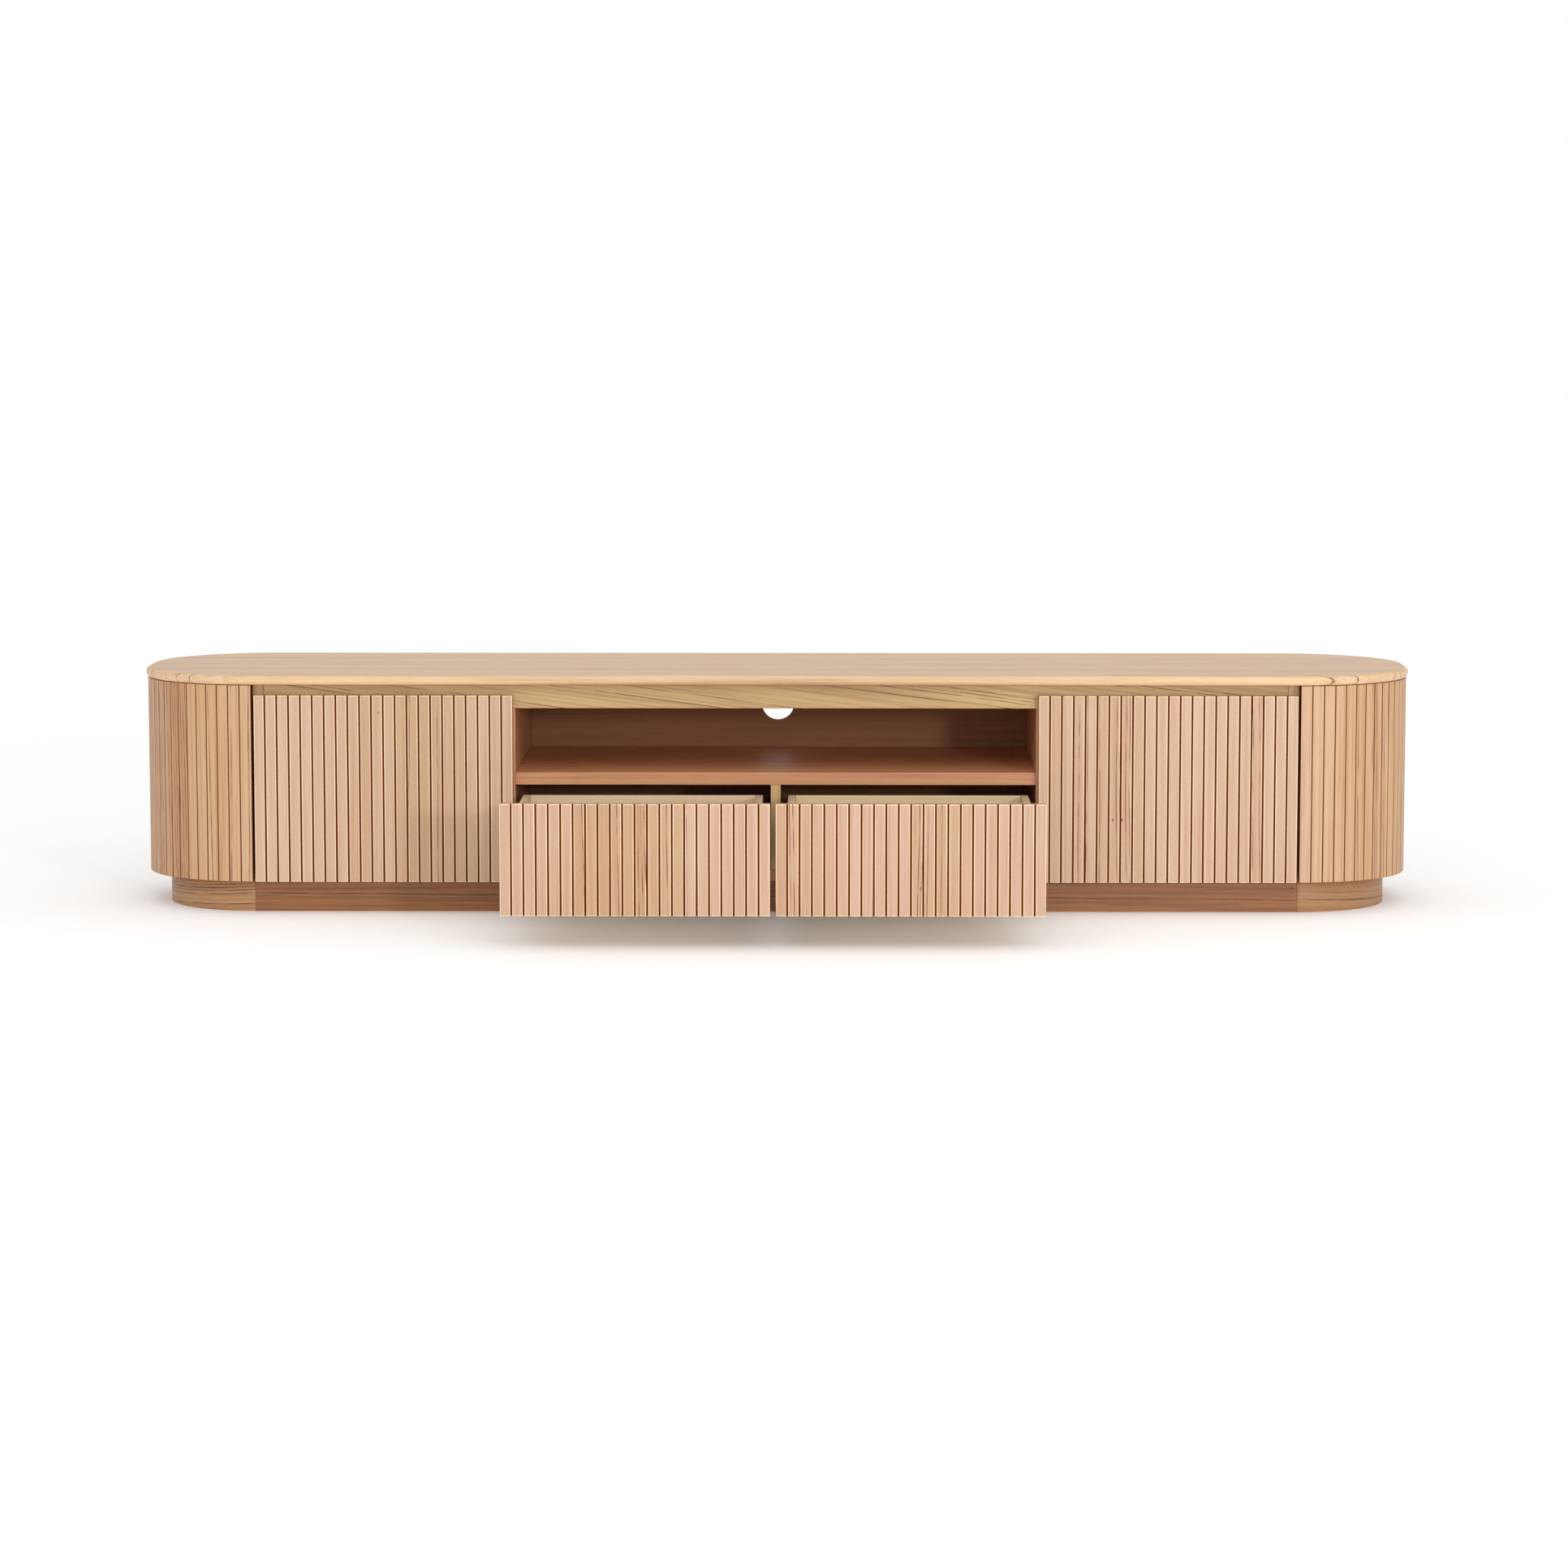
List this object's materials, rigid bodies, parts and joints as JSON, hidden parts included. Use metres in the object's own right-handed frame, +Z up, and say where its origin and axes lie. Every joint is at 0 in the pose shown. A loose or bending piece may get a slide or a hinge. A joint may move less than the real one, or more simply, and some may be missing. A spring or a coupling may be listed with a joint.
{
  "type": "media cabinet",
  "caption": "Long low media cabinet with slatted doors and drawers, rounded slatted ends, an open niche with a cable hole and a set-back plinth.",
  "frame": {"origin": "on the floor, under the middle of the carcass in length and depth", "axes": "+X along the length to the viewer's right, +Y from front to back, +Z up; the front faces -Y"},
  "size_m": [2.1, 0.838, 0.392],
  "materials": {
    "top_wood": "satin oiled hardwood, pinkish beige with gum veins",
    "front_wood": "satin hardwood slats, beige to tan, dark grooves",
    "end_wood": "satin hardwood, orange tan",
    "carcass_wood": "satin hardwood board",
    "inside_wood": "dark stained board",
    "plinth_wood": "satin hardwood, shaded brown",
    "box_wood": "pale lacquered plywood",
    "runner_steel": "zinc-plated",
    "hinge_steel": "nickel-plated"
  },
  "bodies": {
    "case": {"top_slab": "top_wood", "plinth_front": "plinth_wood", "plinth_back": "plinth_wood", "plinth_cross_rail_centre": "plinth_wood", "plinth_cross_rail_left": "plinth_wood", "plinth_cross_rail_right": "plinth_wood", "plinth_end_left": "plinth_wood", "plinth_end_right": "plinth_wood", "bottom_panel": "carcass_wood", "niche_shelf": "carcass_wood", "drawer_divider": "carcass_wood", "front_rail": "end_wood", "back_panel_centre": "inside_wood", "side_wall_left": "carcass_wood", "partition_left": "carcass_wood", "back_panel_left": "inside_wood", "cupboard_shelf_left": "carcass_wood", "end_shell_left": "end_wood", "hinge_arm_left_lower": "hinge_steel", "hinge_arm_left_upper": "hinge_steel", "runner_left_outer_wall": "runner_steel", "runner_left_inner_wall": "runner_steel", "side_wall_right": "carcass_wood", "partition_right": "carcass_wood", "back_panel_right": "inside_wood", "cupboard_shelf_right": "carcass_wood", "end_shell_right": "end_wood", "hinge_arm_right_lower": "hinge_steel", "hinge_arm_right_upper": "hinge_steel", "runner_right_outer_wall": "runner_steel", "runner_right_inner_wall": "runner_steel"},
    "door_left": {"door_left": "front_wood", "hinge_cup_left_lower": "hinge_steel", "hinge_cup_left_upper": "hinge_steel"},
    "drawer_left": {"drawer_left_front": "front_wood", "drawer_left_outer_side": "box_wood", "drawer_left_inner_side": "box_wood", "drawer_left_box_front": "box_wood", "drawer_left_box_back": "box_wood", "drawer_left_bottom": "box_wood", "runner_left_outer_drawer": "runner_steel", "runner_left_inner_drawer": "runner_steel"},
    "runner_left_middle": {"runner_left_outer_middle": "runner_steel", "runner_left_inner_middle": "runner_steel"},
    "door_right": {"door_right": "front_wood", "hinge_cup_right_lower": "hinge_steel", "hinge_cup_right_upper": "hinge_steel"},
    "drawer_right": {"drawer_right_front": "front_wood", "drawer_right_outer_side": "box_wood", "drawer_right_inner_side": "box_wood", "drawer_right_box_front": "box_wood", "drawer_right_box_back": "box_wood", "drawer_right_bottom": "box_wood", "runner_right_outer_drawer": "runner_steel", "runner_right_inner_drawer": "runner_steel"},
    "runner_right_middle": {"runner_right_outer_middle": "runner_steel", "runner_right_inner_middle": "runner_steel"}
  },
  "joints": [
    {"name": "door_left_hinge", "type": "hinge", "parent": "case", "child": "door_left", "pos_m": [-0.852, -0.22, 0.206], "axis": [0, 0, -1], "range_deg": [0, 100]},
    {"name": "door_right_hinge", "type": "hinge", "parent": "case", "child": "door_right", "pos_m": [0.852, -0.22, 0.206], "axis": [0, 0, 1], "range_deg": [0, 100]},
    {"name": "drawer_left_slide", "type": "slide", "parent": "case", "child": "drawer_left", "axis": [0, -1, 0], "range_m": [-0.395, 0.005]},
    {"name": "runner_left_slide", "type": "slide", "parent": "case", "child": "runner_left_middle", "axis": [0, -1, 0], "range_m": [-0.1975, 0.0025]},
    {"name": "drawer_right_slide", "type": "slide", "parent": "case", "child": "drawer_right", "axis": [0, -1, 0], "range_m": [-0.395, 0.005]},
    {"name": "runner_right_slide", "type": "slide", "parent": "case", "child": "runner_right_middle", "axis": [0, -1, 0], "range_m": [-0.1975, 0.0025]}
  ],
  "couplings": [
    {"joint": "runner_left_slide", "follows": "drawer_left_slide", "ratio": 0.5},
    {"joint": "runner_right_slide", "follows": "drawer_right_slide", "ratio": 0.5}
  ]
}
